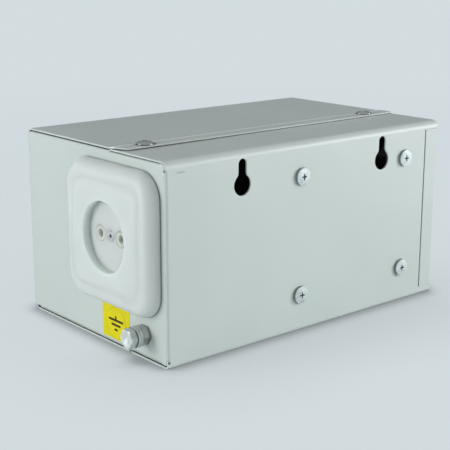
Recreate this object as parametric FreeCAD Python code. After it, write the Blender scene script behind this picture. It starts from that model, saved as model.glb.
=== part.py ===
import FreeCAD, Part
import math
import os

from FreeCAD import Placement, Rotation, Vector

# Wall-hung step-down transformer box with a low-voltage socket at one end.
# Millimetres. X runs to the socket end, Y to the wall, Z up.
# The origin is the centre of the case's footprint on its standing face.

# Case of folded steel sheet
box_length = 215.0
box_depth = 136.0
box_height = 112.0
sheet = 1.0
wall_bend = 3.0
floor_bend = 1.0
edge_bend = 0.6
joggle_bend = 0.5
sheet_gap = 0.3
floor_gap = 0.8
corner_land = 0.8
corner_hole = 1.6
corner_hole_drop = 1.2
corner_nick = 0.7
top_flange = 49.5
bottom_flange = 33.0
end_flange = 12.0
seam_from_end = 12.0
seam_gap = 1.0
strap_width = 18.0
strip_fit = 0.05

# Front cover
cover_bend = 2.6
cover_inset = 0.2
cover_rise = 0.8
cover_gap = 0.6
lip_gap = 0.2
lip_bend = 1.2
lip_fold = 51.0
lip_edge = 38.5
lip_taper = 4.0
joggle_run = 2.0
hook_lap = 12.0
hook_gap = 0.8
window_gap = 0.8
window_corner = 1.5

# Cover screws
cover_screw_bore = 4.0
cover_screw_from_wall = 44.0
near_screw_clear = 4.6
far_screw_clear = 5.8
cover_screw_head = 10.2
cover_screw_dome = 1.8
cover_screw_slack = 0.1
cover_screw_length = 4.8

# Keyholes of the wall panel
keyhole_spacing = 111.5
keyhole_head = 12.0
keyhole_slot = 5.8
keyhole_from_top = 18.9
keyhole_rise = 11.6
keyhole_flare = 3.0

# Transformer
leg = 17.5
stack = 46.0
core_x = -32.7
core_lift = 0.8
coil_overhang = 15.5
coil_clearance = 1.5
bobbin_wall = 1.2
bobbin_fit = 0.3
bobbin_corner = 1.5
window_play = 0.5
primary_build = 6.4
secondary_build = 5.6
wrap_build = 0.6
winding_gap = 0.2
core_screw_bore = 5.0
core_screw_head = 10.2
core_screw_head_height = 2.1
core_screw_tail = 2.0
spacer_diameter = 10.0
core_washer = 11.0
core_washer_height = 1.0
core_nut_flats = 8.0
core_nut_height = 4.0

# Terminal blocks on the bobbin
block_length = 48.0
block_depth = 11.0
block_height = 11.0
block_poles = 4
block_seat_gap = 0.5
block_chamfer = 2.5
block_well = 5.4
block_well_depth = 5.0
block_screw = 5.0
block_screw_length = 4.2
wire_hole = 3.6

# Breakers on their rail
breaker_width = 17.5
breaker_height = 80.0
breaker_shoulder = 44.0
breaker_nose = 60.0
breaker_nose_height = 45.0
breaker_back = 5.0
breaker_chamfer = 4.0
breaker_edge = 0.8
breaker_play = 0.1
breaker_x = 44.0
breaker_lift = 2.3
nose_proud = 2.0
clamp_bore = 5.6
clamp_screw = 5.0
clamp_screw_length = 4.0
clamp_depth = 9.0
clamp_from_middle = 31.0
entry_width = 8.0
entry_depth = 9.0
entry_from_rail = 18.0
entry_reach = 11.0
lever_inset = 6.6
lever_barrel = 7.6
lever_width = 6.6
lever_fit = 0.4
lever_reach = 15.0
lever_root = 3.0
lever_tip = 1.5
lever_swing = 70.0
lever_mouth = 2.6
lever_mouth_half = 8.4
rail_width = 35.0
rail_hat = 25.0
rail_depth = 7.5
rail_sheet = 1.0
rail_length = 40.0
rail_fit = 0.3
hook_bite = 1.4
rail_screw_bore = 4.0
rail_screw_head = 8.0
rail_screw_head_height = 2.6
rail_screw_spacing = 24.0
rail_nut_flats = 7.0
rail_nut_height = 3.2
rail_screw_tail = 1.0
bracket_sheet = 1.5
bracket_run = 4.0
bracket_margin = 8.0
bracket_overlap = 2.0
bracket_bend = 0.8
bracket_foot_inset = 1.0

# Socket
socket_size = 80.0
socket_corner = 15.0
socket_proud = 8.6
socket_roll = 7.0
socket_rim = 0.9
socket_wall = 2.2
socket_from_wall = 44.6
socket_z = 65.1
pad_flat = 49.6
pad_slope = 6.0
pad_rise = 1.0
pad_corner = 10.0
well_diameter = 40.0
well_depth = 5.3
well_rim = 0.8
well_wall = 2.0
pin_spacing = 19.0
pin_hole = 5.0
collar_diameter = 8.8
collar_fit = 0.2
base_diameter = 44.0
base_flange = 50.0
base_depth = 22.0
base_fit = 0.3
support_margin = 5.0
support_sheet = 1.2
support_corner = 6.0
cutout_diameter = 48.0
sleeve_wall = 0.8
sleeve_fit = 0.05
sleeve_cover = 4.0
contact_block = 8.0
contact_block_length = 7.0
centre_screw_head = 6.4
centre_screw_head_height = 1.6
centre_screw_bore = 3.2
centre_screw_length = 14.0
fixing_clear = 1.2
fixing_bore = 3.0
fixing_head = 5.6
fixing_head_height = 1.8
fixing_length = 8.0
fixing_nut_flats = 5.5
fixing_nut_height = 2.4

# Earth terminal
earth_from_wall = 20.1
earth_z = 14.6
earth_bore = 6.0
earth_flats = 10.0
earth_washer = 12.0
earth_washer_height = 1.3
earth_nut_height = 5.2
earth_head_height = 4.2
earth_dish = 1.0
earth_dish_share = 0.72
earth_lug_gap = 0.2
earth_inner_length = 9.0
earth_label_from_wall = 34.4
earth_label_width = 26.0
earth_label_height = 21.0
earth_label_base = 3.8
earth_label_sheet = 0.2

# Supply inlet in the far end
grommet_from_front = 30.0
grommet_z = 30.0
grommet_hole = 14.0
grommet_lip = 18.0
grommet_bore = 9.0
grommet_lip_height = 2.0
grommet_fit = 0.1

# Internal wiring
wire_diameter = 3.0
wire_headroom = 4.7
wire_floor = 9.3
wire_sink = 4.0
wire_end_gap = 0.4
contact_wire_sink = 1.0
wire_corner_share = 0.45

# Small fits and recesses of the fasteners
screw_fit = 0.2
nut_fit = 0.1
slot_width = 0.9
recess_share = 0.36
recess_depth = 1.3
pan_crown = 0.16
dome_crown = 0.75

# How far a cut runs past the material, and how near an edge counts as on a plane
overcut = 1.0
touch = 0.01

half_length = box_length / 2
half_depth = box_depth / 2
corner_margin = wall_bend + sheet + corner_land
keyhole_height = box_height - keyhole_from_top
core_z = box_height / 2 + core_lift
breaker_z = box_height / 2 + breaker_lift
lever_pivot = breaker_nose - lever_inset
fixing_spacing = base_flange + fixing_head + 2 * fixing_clear
support_size = fixing_spacing + 2 * support_margin

# Planes of sketches: first two letters carry the outline, the third is the direction of extrusion
plane_axes = {"YZ": Vector(1, 0, 0), "XZ": Vector(0, 1, 0), "XY": Vector(0, 0, 1)}


def spot(plane, u, v, w):
    if plane == "YZ":
        return Vector(w, u, v)
    if plane == "XZ":
        return Vector(u, w, v)
    return Vector(u, v, w)


def wire_of(outline, plane, level):
    edges = []
    for points in outline:
        placed = [spot(plane, u, v, level) for u, v in points]
        curve = Part.LineSegment(*placed) if len(placed) == 2 else Part.Arc(*placed)
        edges.append(curve.toShape())
    return Part.Wire(edges)


def prism(outline, plane, start, end):
    face = Part.Face(wire_of(outline, plane, start))
    return face.extrude(plane_axes[plane] * (end - start))


def polygon(points):
    return [(points[i], points[(i + 1) % len(points)]) for i in range(len(points))]


def arc_middle(centre, radius, angle):
    turn = math.radians(angle)
    return (centre[0] + radius * math.cos(turn), centre[1] + radius * math.sin(turn))


def rounded_rectangle(u0, u1, v0, v1, radius):
    corners = [(u1 - radius, v0 + radius, -90), (u1 - radius, v1 - radius, 0),
               (u0 + radius, v1 - radius, 90), (u0 + radius, v0 + radius, 180)]
    arcs = []
    for u, v, start in corners:
        arcs.append(tuple(arc_middle((u, v), radius, start + step) for step in (0, 45, 90)))
    outline = []
    for i, arc in enumerate(arcs):
        outline.append(arc)
        outline.append((arc[2], arcs[(i + 1) % 4][0]))
    return outline


def rounded_square(u, v, size, radius):
    half = size / 2
    return rounded_rectangle(u - half, u + half, v - half, v + half, radius)


def hexagon(u, v, flats):
    radius = flats / math.sqrt(3)
    return polygon([arc_middle((u, v), radius, 60 * i + 30) for i in range(6)])


def sheet_outline(path, bends, thickness):
    # Outline of a folded strip from its middle line and the inside radius of each bend
    sides = []
    for side in (1, -1):
        offset = side * thickness / 2
        chain = []
        for i in range(1, len(path)):
            run = Vector(path[i][0] - path[i - 1][0], path[i][1] - path[i - 1][1], 0).normalize()
            normal = Vector(-run.y, run.x, 0)
            if i == 1:
                last = Vector(*path[0], 0) + normal * offset
            if i == len(path) - 1:
                end = Vector(*path[i], 0) + normal * offset
                chain.append((last, end))
                break
            after = Vector(path[i + 1][0] - path[i][0], path[i + 1][1] - path[i][1], 0).normalize()
            turn = math.atan2(run.x * after.y - run.y * after.x, run.dot(after))
            sign = 1 if turn > 0 else -1
            radius = bends[i - 1] + thickness / 2
            setback = radius * math.tan(abs(turn) / 2)
            corner = Vector(*path[i], 0)
            centre = corner - run * setback + normal * (sign * radius)
            start = corner - run * setback + normal * offset
            stop = corner + after * setback + Vector(-after.y, after.x, 0) * offset
            middle = centre + (corner - centre).normalize() * (radius - sign * offset)
            chain.append((last, start))
            chain.append((start, middle, stop))
            last = stop
        sides.append(chain)
    left, right = sides
    back = [tuple(reversed(points)) for points in reversed(right)]
    caps = [(left[-1][-1], right[-1][-1])], [(right[0][0], left[0][0])]
    loop = left + caps[0] + back + caps[1]
    return [tuple((point.x, point.y) for point in points) for points in loop]


def folded(path, bends, thickness, plane, start, end):
    return prism(sheet_outline(path, bends, thickness), plane, start, end)


def block(x0, x1, y0, y1, z0, z1):
    return Part.makeBox(x1 - x0, y1 - y0, z1 - z0, Vector(x0, y0, z0))


def rod(diameter, start, end):
    run = Vector(*end) - Vector(*start)
    return Part.makeCylinder(diameter / 2, run.Length, Vector(*start), run)


def fused(solids):
    return solids[0].multiFuse(solids[1:]).removeSplitter()


def set_at(shape, position, direction):
    placed = shape.copy()
    placed.Placement = Placement(Vector(*position), Rotation(Vector(0, 0, 1), Vector(*direction)))
    return placed


def revolved(outline):
    face = Part.Face(wire_of(outline, "XZ", 0))
    return face.revolve(Vector(0, 0, 0), Vector(0, 0, 1), 360)


# Fasteners are drawn along +Z with their seat at the origin

def domed_head(diameter, height, crown_share):
    radius = diameter / 2
    crown = height * crown_share
    rim = height - crown
    sphere = (radius ** 2 + crown ** 2) / (2 * crown)
    middle = arc_middle((0, height - sphere), sphere, 90 - math.degrees(math.asin(radius / sphere)) / 2)
    outline = [((0, 0), (radius, 0)), ((radius, 0), (radius, rim)),
               ((radius, rim), middle, (0, height)), ((0, height), (0, 0))]
    return revolved(outline)


def cross_recess(head, height):
    reach = head * recess_share / 2
    half = slot_width / 2
    bottom = height - recess_depth
    top = height + overcut
    arms = [block(-reach, reach, -half, half, bottom, top),
            block(-half, half, -reach, reach, bottom, top)]
    return fused(arms)


def cross_screw(head, height, crown_share, bore, length):
    solids = [domed_head(head, height, crown_share), rod(bore, (0, 0, 0), (0, 0, -length))]
    return fused(solids).cut(cross_recess(head, height))


def slotted_stud(diameter, length):
    half = slot_width / 2
    stud = rod(diameter, (0, 0, 0), (0, 0, length))
    return stud.cut(block(-diameter, diameter, -half, half, length - slot_width, length + overcut))


def drill(bore, height):
    return rod(bore, (0, 0, -overcut), (0, 0, height + overcut))


def ring(outer, inner, height):
    return rod(outer, (0, 0, 0), (0, 0, height)).cut(drill(inner, height))


def hex_nut(flats, bore, height):
    nut = prism(hexagon(0, 0, flats), "XY", 0, height)
    # A shallow cone rounds the corners of both faces
    corner = flats / math.sqrt(3)
    flank = (corner - flats / 2) * math.tan(math.radians(30))
    cone = revolved(polygon([(0, 0), (flats / 2, 0), (corner, flank),
                             (corner, height - flank), (flats / 2, height), (0, height)]))
    return nut.common(cone).cut(drill(bore, height))


# Case

def end_tray(side):
    # End wall with its flanges, which step down under the wall panel's top, and the plates of its corners
    middle = side * (half_length - sheet / 2)
    tip = middle - side * end_flange
    low = sheet + floor_gap + sheet / 2
    high = box_height - sheet - sheet_gap - sheet / 2
    front_high = box_height + cover_rise - sheet - cover_gap - sheet / 2
    front = -half_depth + sheet + sheet_gap + edge_bend + sheet
    step = half_depth - top_flange - sheet_gap
    rear = half_depth - corner_margin
    solids = []
    for start, end, level in ((front, step, front_high), (step, rear, high)):
        path = [(tip, level), (middle, level), (middle, low), (tip, low)]
        solids.append(folded(path, [edge_bend, edge_bend], sheet, "XZ", start, end))
    faces = sorted((side * half_length, side * (half_length - sheet)))
    bottom = low - sheet / 2
    top = high + sheet / 2
    edge = half_depth - sheet - sheet_gap
    radius = floor_bend - sheet_gap
    lower = [arc_middle((edge - radius, bottom + radius), radius, angle) for angle in (-90, -45, 0)]
    radius = wall_bend - sheet_gap
    upper = [arc_middle((edge - radius, top - radius), radius, angle) for angle in (0, 45, 90)]
    outline = [((rear, bottom), lower[0]), tuple(lower), (lower[2], upper[0]), tuple(upper),
               (upper[2], (rear, top)), ((rear, top), (rear, bottom))]
    solids.append(prism(outline, "YZ", *faces))
    top = front_high + sheet / 2
    edge = -half_depth + sheet + sheet_gap
    radius = cover_bend - sheet_gap
    lead = math.degrees(math.asin((edge + radius - front) / radius))
    turns = (90 + lead, 135 + lead / 2, 180)
    lower = [arc_middle((edge + radius, bottom + radius), radius, -angle) for angle in turns]
    upper = [arc_middle((edge + radius, top - radius), radius, angle) for angle in turns]
    outline = [tuple(lower), (lower[2], upper[2]), tuple(reversed(upper)), (upper[0], lower[0])]
    solids.append(prism(outline, "YZ", *faces))
    return fused(solids)


front_flange_y = -half_depth + sheet + sheet_gap + sheet / 2
socket_y = half_depth - socket_from_wall
earth_y = half_depth - earth_from_wall
cover_screw_y = half_depth - cover_screw_from_wall
flange_edge = half_length - sheet - end_flange - cover_screw_bore / 2
cover_screw_spots = [far_screw_clear - flange_edge, flange_edge - near_screw_clear]
core_screws = [(core_x + i * 2.5 * leg, core_z + j * 2 * leg) for i in (1, -1) for j in (-1, 1)]
fixing_spots = [(socket_y, socket_z + i * fixing_spacing / 2) for i in (-1, 1)]
pin_spots = [(socket_y + i * pin_spacing / 2, socket_z) for i in (-1, 1)]


def keyhole_outline(x):
    # Round head, a slot that rises from it, and flared corners where they meet
    head = keyhole_head / 2
    half = keyhole_slot / 2
    flare_u = half + keyhole_flare
    flare_v = math.sqrt((head + keyhole_flare) ** 2 - flare_u ** 2)
    slant = math.degrees(math.atan2(flare_v, flare_u))
    share = head / (head + keyhole_flare)
    neck = (x + flare_u * share, keyhole_height + flare_v * share)
    neck_left = (2 * x - neck[0], neck[1])
    right = (x + flare_u, keyhole_height + flare_v)
    left = (x - flare_u, keyhole_height + flare_v)
    top = keyhole_height + keyhole_rise
    return [((x + half, right[1]), (x + half, top)),
            ((x + half, top), (x, top + half), (x - half, top)),
            ((x - half, top), (x - half, left[1])),
            ((x - half, left[1]), arc_middle(left, keyhole_flare, -slant / 2), neck_left),
            (neck_left, (x, keyhole_height - head), neck),
            (neck, arc_middle(right, keyhole_flare, 180 + slant / 2), (x + half, right[1]))]


def rear_chassis():
    y_wall = half_depth - sheet / 2
    path = [(half_depth - top_flange, box_height - sheet / 2), (y_wall, box_height - sheet / 2),
            (y_wall, sheet / 2), (half_depth - bottom_flange, sheet / 2)]
    wall = folded(path, [wall_bend, floor_bend], sheet, "YZ", -half_length, half_length)
    near = half_length - edge_bend - sheet
    inside = half_depth - 2 * sheet
    beyond = half_depth + overcut
    past_end = half_length + overcut
    top = box_height - corner_margin
    wall = wall.cut(block(-past_end, -half_length + seam_from_end, inside, beyond, corner_margin, top))
    wall = wall.cut(block(near, past_end, inside, beyond, corner_margin, top))
    # The socket end folds forward from the wall panel, with a flange behind the cover
    x_end = half_length - sheet / 2
    turn = [(near - sheet, y_wall), (x_end, y_wall), (x_end, front_flange_y),
            (x_end - end_flange, front_flange_y)]
    corner = folded(turn, [edge_bend, edge_bend], sheet, "XY", corner_margin, top)
    shell = fused([wall, corner, end_tray(1)])
    # Corner relief: a drilled hole below and a slanted nick above
    nick = polygon([(past_end, top - corner_nick), (past_end, top + corner_nick),
                    (half_length, top + corner_nick), (half_length - corner_nick, top - corner_nick)])
    relief = (half_length - sheet, corner_margin - corner_hole_drop)
    cuts = [rod(corner_hole, (relief[0], inside, relief[1]), (relief[0], beyond, relief[1])),
            prism(nick, "XZ", inside, beyond)]
    for x in (-keyhole_spacing / 2, keyhole_spacing / 2):
        cuts.append(prism(keyhole_outline(x), "XZ", inside, beyond))
    for x, z in core_screws:
        cuts.append(rod(core_screw_bore + screw_fit, (x, inside, z), (x, beyond, z)))
    # Open slots under the lip, so that the cover leaves with its loosened screws
    half = cover_screw_bore / 2 + screw_fit
    under = box_height - 2 * sheet
    above = box_height + overcut
    for x in cover_screw_spots:
        cuts.append(rod(2 * half, (x, cover_screw_y, under), (x, cover_screw_y, above)))
        cuts.append(block(x - half, x + half, half_depth - top_flange - overcut, cover_screw_y, under, above))
    ends = (half_length - 2 * sheet, past_end)
    cuts.append(rod(cutout_diameter, (ends[0], socket_y, socket_z), (ends[1], socket_y, socket_z)))
    cuts.append(rod(earth_bore + screw_fit, (ends[0], earth_y, earth_z), (ends[1], earth_y, earth_z)))
    for y, z in fixing_spots:
        cuts.append(rod(fixing_bore + screw_fit, (ends[0], y, z), (ends[1], y, z)))
    return shell.cut(cuts)


grommet_y = -half_depth + grommet_from_front


seam = -half_length + seam_from_end - seam_gap


def end_panel():
    # The rear flange lies flush with the wall panel and stops short of it at the seam
    flush = half_depth - sheet / 2
    x_end = -half_length + sheet / 2
    path = [(seam, flush), (x_end, flush), (x_end, front_flange_y), (x_end + end_flange, front_flange_y)]
    low = corner_margin + strip_fit
    turn = folded(path, [edge_bend, edge_bend], sheet, "XY", low, box_height - low)
    panel = fused([turn, end_tray(-1)])
    return panel.cut(rod(grommet_hole, (-half_length - overcut, grommet_y, grommet_z),
                         (-half_length + 2 * sheet, grommet_y, grommet_z)))


def seam_strap():
    # Flat strap behind the seam, spot welded to both sides
    middle = seam + seam_gap / 2
    low = corner_margin + sheet_gap
    return block(middle - strap_width / 2, middle + strap_width / 2, half_depth - 2 * sheet,
                 half_depth - sheet, low, box_height - low)


rail_face = -half_depth - nose_proud + breaker_nose
rail_seat = rail_face + rail_depth


def front_cover():
    # Bottom hook, bottom, front, top and raised lip in one strip, which stands above the wall panel's top
    hook_z = sheet + sheet_gap + sheet / 2
    top_z = box_height + cover_rise - sheet / 2
    lip_z = box_height + lip_gap + sheet / 2
    hook_start = half_depth - bottom_flange - hook_gap
    fold = half_depth - lip_fold
    y_front = -half_depth + sheet / 2
    path = [(half_depth - bottom_flange + hook_lap, hook_z), (hook_start, hook_z),
            (hook_start - joggle_run, sheet / 2), (y_front, sheet / 2), (y_front, top_z), (fold, top_z),
            (fold + joggle_run, lip_z), (half_depth - lip_edge, lip_z)]
    bends = [joggle_bend, joggle_bend, cover_bend, cover_bend, lip_bend, lip_bend]
    end = half_length - cover_inset
    cover = folded(path, bends, sheet, "YZ", -end, end)
    cuts = []
    hook_end = half_length - sheet - end_flange - hook_gap
    above = lip_z + sheet
    for side in (-1, 1):
        x0, x1 = sorted((side * hook_end, side * (half_length + overcut)))
        joggle = hook_start - joggle_run
        hook_top = hook_z + sheet
        cuts.append(block(x0, x1, joggle - joggle_run, half_depth, sheet + sheet_gap / 2, hook_top))
        cuts.append(block(x0, x1, joggle, half_depth, -overcut, hook_top))
    # The lip's corner at the socket end is cut at a slant
    taper_end = end - lip_taper
    past_end = end + overcut
    taper = polygon([(end, fold + joggle_run), (taper_end, half_depth - lip_edge), (taper_end, half_depth),
                     (past_end, half_depth), (past_end, fold + joggle_run)])
    cuts.append(prism(taper, "XY", box_height, above))
    for x in cover_screw_spots:
        cuts.append(rod(cover_screw_bore + 2 * screw_fit, (x, cover_screw_y, box_height),
                        (x, cover_screw_y, above)))
    side_gap = breaker_width + window_gap
    rise = breaker_nose_height / 2 + window_gap
    window = rounded_rectangle(breaker_x - side_gap, breaker_x + side_gap, breaker_z - rise,
                               breaker_z + rise, window_corner)
    cuts.append(prism(window, "XZ", -half_depth - overcut, -half_depth + 2 * sheet))
    return cover.cut(cuts)


def cover_screws():
    seat = box_height + lip_gap + sheet + cover_screw_slack
    screw = cross_screw(cover_screw_head, cover_screw_dome, dome_crown, cover_screw_bore, cover_screw_length)
    return [set_at(screw, (x, cover_screw_y, seat), (0, 0, 1)) for x in cover_screw_spots]


# Transformer: legs upright, yoke of the E below and the I bar on top.
# Every size of the laminations is a multiple of the outer leg, which is half the middle leg.

wall_inside = half_depth - sheet
spacer_length = coil_overhang + coil_clearance
core_back = wall_inside - spacer_length
core_front = core_back - stack
core_middle = (core_back + core_front) / 2
core_low = core_z - 2.5 * leg
core_high = core_z + 2.5 * leg


def drilled_core(shape, spots):
    bore = core_screw_bore + screw_fit
    return shape.cut([rod(bore, (x, core_front - overcut, z), (x, core_back + overcut, z)) for x, z in spots])


def core_e_stack():
    body = block(core_x - 3 * leg, core_x + 3 * leg, core_front, core_back, core_low, core_high - leg)
    for side in (-1, 1):
        inner = sorted((core_x + side * leg, core_x + side * 2 * leg))
        body = body.cut(block(*inner, core_front - overcut, core_back + overcut, core_low + leg, core_high))
    return drilled_core(body, [place for place in core_screws if place[1] < core_z])


def core_i_stack():
    body = block(core_x - 3 * leg, core_x + 3 * leg, core_front, core_back, core_high - leg, core_high)
    return drilled_core(body, [place for place in core_screws if place[1] > core_z])


def coil_tube(inset, build, low, high):
    # Rounded square tube round the middle leg, inset from the leg's faces
    u = leg + inset
    v = stack / 2 + inset
    outer = rounded_rectangle(core_x - u - build, core_x + u + build, core_middle - v - build,
                              core_middle + v + build, inset + build)
    inner = rounded_rectangle(core_x - u, core_x + u, core_middle - v, core_middle + v, inset)
    return prism(outer, "XY", low, high).cut(prism(inner, "XY", low - overcut, high + overcut))


flange_low = core_low + leg + window_play / 2
flange_high = core_high - leg - window_play / 2
winding_low = flange_low + bobbin_wall + winding_gap
winding_high = flange_high - bobbin_wall - winding_gap


def coil_bobbin():
    tube = coil_tube(bobbin_fit, bobbin_wall, flange_low, flange_high)
    reach_x = 2 * leg - window_play
    reach_y = stack / 2 + coil_overhang
    rim = rounded_rectangle(core_x - reach_x, core_x + reach_x, core_middle - reach_y,
                            core_middle + reach_y, bobbin_corner)
    hole = rounded_rectangle(core_x - leg - bobbin_fit, core_x + leg + bobbin_fit,
                             core_middle - stack / 2 - bobbin_fit, core_middle + stack / 2 + bobbin_fit,
                             bobbin_fit)
    cheeks = []
    for low in (flange_low, flange_high - bobbin_wall):
        cheek = prism(rim, "XY", low, low + bobbin_wall)
        cheeks.append(cheek.cut(prism(hole, "XY", low - overcut, low + bobbin_wall + overcut)))
    return fused([tube] + cheeks)


primary_inset = bobbin_fit + bobbin_wall + winding_gap
secondary_inset = primary_inset + primary_build + winding_gap
wrap_inset = secondary_inset + secondary_build + winding_gap


def terminal_block(side):
    # Screws face the cover, wires come in from above or below
    seat = flange_high if side > 0 else flange_low
    face = core_front - block_seat_gap
    outer = seat + side * block_height
    outline = polygon([(face, seat), (face, outer), (face - block_depth + block_chamfer, outer),
                       (face - block_depth, outer - side * block_chamfer), (face - block_depth, seat)])
    body = prism(outline, "YZ", core_x - block_length / 2, core_x + block_length / 2)
    cuts = []
    for x in block_spots():
        z = seat + side * block_height / 2
        y = face - block_depth
        cuts.append(rod(block_well, (x, y - overcut, z), (x, y + block_well_depth, z)))
        middle = face - block_depth / 2
        cuts.append(rod(wire_hole, (x, middle, z), (x, middle, outer + side * overcut)))
    return body.cut(cuts)


def block_spots():
    pitch = block_length / block_poles
    return [core_x - block_length / 2 + pitch * (i + 0.5) for i in range(block_poles)]


def terminal_screws():
    stud = slotted_stud(block_screw, block_screw_length)
    floor = core_front - block_seat_gap - block_depth + block_well_depth
    heights = [flange_high + block_height / 2, flange_low - block_height / 2]
    return [set_at(stud, (x, floor, z), (0, -1, 0)) for z in heights for x in block_spots()]


def core_seat(x):
    return core_front - (bracket_sheet if x > core_x else 0)


def transformer_screws():
    tail = bracket_sheet + core_washer_height + core_nut_height + core_screw_tail
    screw = cross_screw(core_screw_head, core_screw_head_height, pan_crown, core_screw_bore,
                        half_depth - core_front + tail)
    return [set_at(screw, (x, half_depth, z), (0, 1, 0)) for x, z in core_screws]


def transformer_spacers():
    spacer = ring(spacer_diameter, core_screw_bore + screw_fit, spacer_length)
    return [set_at(spacer, (x, wall_inside, z), (0, -1, 0)) for x, z in core_screws]


def transformer_washers():
    washer = ring(core_washer, core_screw_bore + screw_fit, core_washer_height)
    return [set_at(washer, (x, core_seat(x), z), (0, -1, 0)) for x, z in core_screws]


def transformer_nuts():
    nut = hex_nut(core_nut_flats, core_screw_bore + nut_fit, core_nut_height)
    return [set_at(nut, (x, core_seat(x) - core_washer_height, z), (0, -1, 0)) for x, z in core_screws]


# Breakers, rail and bracket

def breaker_bracket():
    foot = core_front - bracket_sheet / 2
    plate = rail_seat + bracket_sheet / 2
    leg_inner = core_x + 2 * leg + bracket_foot_inset
    leg_outer = core_x + 3 * leg
    end = breaker_x + rail_length / 2 + bracket_overlap
    path = [(leg_inner, foot), (leg_outer, foot), (leg_outer + bracket_run, plate), (end, plate)]
    low = core_z - 2 * leg - bracket_margin
    high = core_z + 2 * leg + bracket_margin
    body = folded(path, [bracket_bend, bracket_bend], bracket_sheet, "XY", low, high)
    cuts = []
    for x, z in core_screws:
        if x > core_x:
            cuts.append(rod(core_screw_bore + screw_fit, (x, foot - 2 * sheet, z), (x, core_back, z)))
    for x in rail_screw_spots():
        cuts.append(rod(rail_screw_bore + screw_fit, (x, plate - bracket_sheet, breaker_z),
                        (x, plate + bracket_sheet, breaker_z)))
    return body.cut(cuts)


def rail_screw_spots():
    return [breaker_x + i * rail_screw_spacing / 2 for i in (-1, 1)]


def mounting_rail():
    brim = rail_face + rail_sheet / 2
    base = rail_seat - rail_sheet / 2
    hat = rail_hat / 2
    rim = rail_width / 2
    path = [(brim, breaker_z + rim), (brim, breaker_z + hat), (base, breaker_z + hat),
            (base, breaker_z - hat), (brim, breaker_z - hat), (brim, breaker_z - rim)]
    half = rail_length / 2
    body = folded(path, [joggle_bend] * 4, rail_sheet, "YZ", breaker_x - half, breaker_x + half)
    bore = rail_screw_bore + screw_fit
    ends = (base - rail_sheet, base + rail_sheet)
    holes = [rod(bore, (x, ends[0], breaker_z), (x, ends[1], breaker_z)) for x in rail_screw_spots()]
    return body.cut(holes)


def rail_screws():
    length = rail_sheet + bracket_sheet + rail_nut_height + rail_screw_tail
    screw = cross_screw(rail_screw_head, rail_screw_head_height, pan_crown, rail_screw_bore, length)
    return [set_at(screw, (x, rail_seat - rail_sheet, breaker_z), (0, -1, 0)) for x in rail_screw_spots()]


def rail_nuts():
    nut = hex_nut(rail_nut_flats, rail_screw_bore + nut_fit, rail_nut_height)
    seat = rail_seat + bracket_sheet
    return [set_at(nut, (x, seat, breaker_z), (0, 1, 0)) for x in rail_screw_spots()]


def breaker_middle(side):
    return breaker_x + side * breaker_width / 2


def breaker_point(depth, height):
    return (rail_face - depth, breaker_z + height)


def breaker(side):
    half = breaker_height / 2
    nose = breaker_nose_height / 2
    grip = rail_width / 2 + rail_fit
    bite = grip - hook_bite
    lap = rail_sheet + rail_fit
    upper = [(-breaker_back, half), (breaker_shoulder - breaker_chamfer, half),
             (breaker_shoulder, half - breaker_chamfer), (breaker_shoulder, nose), (breaker_nose, nose)]
    hook = [(rail_fit, grip), (-lap, grip), (-lap, bite), (-breaker_back, bite)]
    upper_side = [breaker_point(*point) for point in hook + upper]
    lower_side = [breaker_point(depth, -height) for depth, height in reversed(hook + upper)]
    x = breaker_middle(side)
    reach = breaker_width / 2 - breaker_play
    body = prism(polygon(upper_side + lower_side), "YZ", x - reach, x + reach)
    front = rail_face - breaker_nose
    edges = [edge for edge in body.Edges if abs(edge.BoundBox.YMax - front) < touch]
    body = body.makeChamfer(breaker_edge, edges)
    pivot = breaker_point(lever_pivot, 0)
    slot = lever_width / 2 + lever_fit
    cuts = [rod(2 * (lever_barrel + lever_fit), (x - slot, *pivot), (x + slot, *pivot)),
            block(x - slot, x + slot, front - overcut, front + lever_mouth, breaker_z - lever_mouth_half,
                  breaker_z + lever_mouth_half)]
    for end in (-1, 1):
        y, z = breaker_point(breaker_shoulder, end * clamp_from_middle)
        cuts.append(rod(clamp_bore, (x, y - overcut, z), (x, y + clamp_depth, z)))
        y, z = breaker_point(entry_from_rail, end * half)
        low, high = sorted((z - end * entry_reach, z + end * overcut))
        cuts.append(block(x - entry_width / 2, x + entry_width / 2, y - entry_depth / 2, y + entry_depth / 2,
                          low, high))
    return body.cut(cuts)


def breaker_lever(side):
    x = breaker_middle(side)
    half = lever_width / 2
    pivot = breaker_point(lever_pivot, 0)
    barrel = rod(2 * lever_barrel, (x - half, *pivot), (x + half, *pivot))
    y, z = pivot
    tip = y - lever_reach
    root = [(y, z - lever_root), (y, z + lever_root)]
    nose = [(tip + lever_tip, z + lever_tip), (tip, z), (tip + lever_tip, z - lever_tip)]
    outline = [tuple(root), (root[1], nose[0]), tuple(nose), (nose[2], root[0])]
    lever = fused([barrel, prism(outline, "YZ", x - half, x + half)])
    lever.rotate(Vector(x, *pivot), Vector(1, 0, 0), lever_swing / 2)
    return lever


def breaker_clamp_screws():
    stud = slotted_stud(clamp_screw, clamp_screw_length)
    studs = []
    for side in (-1, 1):
        for end in (-1, 1):
            y, z = breaker_point(breaker_shoulder, end * clamp_from_middle)
            studs.append(set_at(stud, (breaker_middle(side), y + clamp_depth, z), (0, -1, 0)))
    return studs


# Socket: x is counted outward from the face of the socket end

def out(distance):
    return half_length + distance


pad_face = socket_proud + pad_rise
well_floor = pad_face - well_depth
well_back = well_floor - well_wall


def socket_square(size, corner):
    return rounded_square(socket_y, socket_z, size, corner)


def across(diameter, start, end, place=(socket_y, socket_z)):
    return rod(diameter, (out(start), *place), (out(end), *place))


def rolled_pad(size, corner, roll, start, end):
    pad = prism(socket_square(size, corner), "YZ", out(start), out(end))
    front = [edge for edge in pad.Edges if edge.BoundBox.XMin > out(end) - touch]
    return pad.makeFillet(roll, front)


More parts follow.
